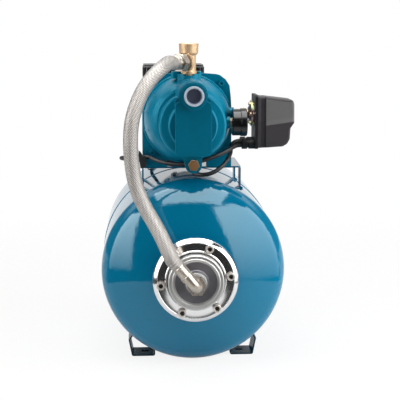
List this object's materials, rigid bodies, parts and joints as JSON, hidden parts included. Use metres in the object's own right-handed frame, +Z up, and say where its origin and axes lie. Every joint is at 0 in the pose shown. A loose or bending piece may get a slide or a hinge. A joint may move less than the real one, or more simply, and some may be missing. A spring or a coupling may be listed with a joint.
{
  "type": "jet pump with pressure tank",
  "caption": "Self-priming cast-iron jet pump on a horizontal steel pressure tank, with pressure switch, gauge, brass tee, braided hose and mains lead.",
  "frame": {"origin": "centre of the rectangle of the foot slots, on the floor under the tank's girth weld", "axes": "+X to the set's right, where the pressure switch is; +Y to the back, along the tank and the pump shaft; +Z up, along the brass tee"},
  "size_m": [0.3692, 0.7223, 0.6075],
  "materials": {
    "paint": "gloss teal enamel",
    "cast_paint": "semi-gloss teal enamel on grey cast iron",
    "cast_raw": "machined",
    "chrome": "polished",
    "zinc": "bright zinc plate",
    "steel": "bright",
    "braid": "woven stainless wire over rubber",
    "nickel": "nickel plate",
    "brass": "forged, satin",
    "bronze": "turned",
    "alloy": "cast",
    "black_plastic": "moulded, satin",
    "cover_plastic": "moulded, fine grain",
    "plug_plastic": "pale moulded cap",
    "white_plastic": "moulded",
    "dial": "matt white",
    "lens": "clear",
    "rubber": "smooth",
    "yellow_zinc": "passivated zinc",
    "contact": "moulded"
  },
  "bodies": {
    "frame": {"tank_front_shell": "paint", "tank_rear_shell": "paint", "girth_weld": "paint", "tank_feet": "paint", "bracket_plate": "paint", "bracket_legs": "paint", "tank_membrane": "rubber", "flange_ring": "chrome", "flange_bolts": "zinc", "flange_cap": "zinc", "port_nipple": "nickel", "hose_elbow": "nickel", "hose_ferrules": "nickel", "braided_hose": "braid", "brass_tee": "brass", "air_valve": "zinc", "pump_casing": "cast_paint", "ejector": "white_plastic", "diffuser": "white_plastic", "shaft_seal": "rubber", "adapter": "cast_paint", "adapter_screws": "steel", "foot_bolts": "zinc", "motor_housing": "cast_paint", "stator": "cast_raw", "shaft_bearings": "steel", "rear_shield": "alloy", "fan_cover": "black_plastic", "motor_foot": "black_plastic", "terminal_box": "black_plastic", "terminal_lid": "black_plastic", "capacitor": "alloy", "gauge_case": "black_plastic", "gauge_dial": "dial", "gauge_lens": "lens", "gauge_stem": "brass", "switch_nipple": "brass", "diaphragm_housing": "yellow_zinc", "switch_base": "black_plastic", "switch_spring": "zinc", "contact_block": "contact", "cable_glands": "black_plastic", "lead_clip": "rubber", "motor_lead": "rubber", "mains_lead": "rubber", "mains_coil": "rubber", "mains_plug": "rubber"},
    "rotating_set": {"motor_shaft": "steel", "rotor": "cast_raw", "impeller": "brass", "cooling_fan": "black_plastic"},
    "gauge_hand": {"gauge_pointer": "black_plastic"},
    "transit_plug": {"suction_plug": "plug_plastic"},
    "cover": {"switch_cover": "cover_plastic"},
    "lever": {"switch_lever": "zinc"},
    "hose_nut": {"swivel_nut": "nickel"},
    "valve_cap": {"air_valve_cap": "black_plastic"},
    "drain_screw": {"drain_plug": "bronze"}
  },
  "joints": [
    {"name": "motor_spin", "type": "hinge", "parent": "frame", "child": "rotating_set", "pos_m": [-0.009, -0.098, 0.4645], "axis": [0, 1, 0], "continuous": true},
    {"name": "gauge_pointer_turn", "type": "hinge", "parent": "frame", "child": "gauge_hand", "pos_m": [0.095, -0.165, 0.461], "axis": [-1, 0, 0], "range_deg": [0, 270]},
    {"name": "suction_plug_pull", "type": "slide", "parent": "frame", "child": "transit_plug", "axis": [0, -1, 0], "range_m": [0, 0.04]},
    {"name": "switch_cover_pull", "type": "slide", "parent": "frame", "child": "cover", "axis": [1, 0, 0], "range_m": [0, 0.085]},
    {"name": "switch_lever_rock", "type": "hinge", "parent": "frame", "child": "lever", "pos_m": [0.131, -0.125, 0.494], "axis": [0, 1, 0], "range_deg": [0, 1.5], "stiffness_Nm_per_rad": 2, "springref_deg": -2.86},
    {"name": "hose_nut_turn", "type": "hinge", "parent": "frame", "child": "hose_nut", "pos_m": [-0.02323, -0.17943, 0.5725], "axis": [-0.6293, -0.7771, 0], "continuous": true},
    {"name": "valve_cap_pull", "type": "slide", "parent": "frame", "child": "valve_cap", "axis": [0, 1, 0], "range_m": [0, 0.03]},
    {"name": "drain_plug_out", "type": "slide", "parent": "frame", "child": "drain_screw", "axis": [0, -1, 0], "range_m": [0, 0.025]}
  ]
}
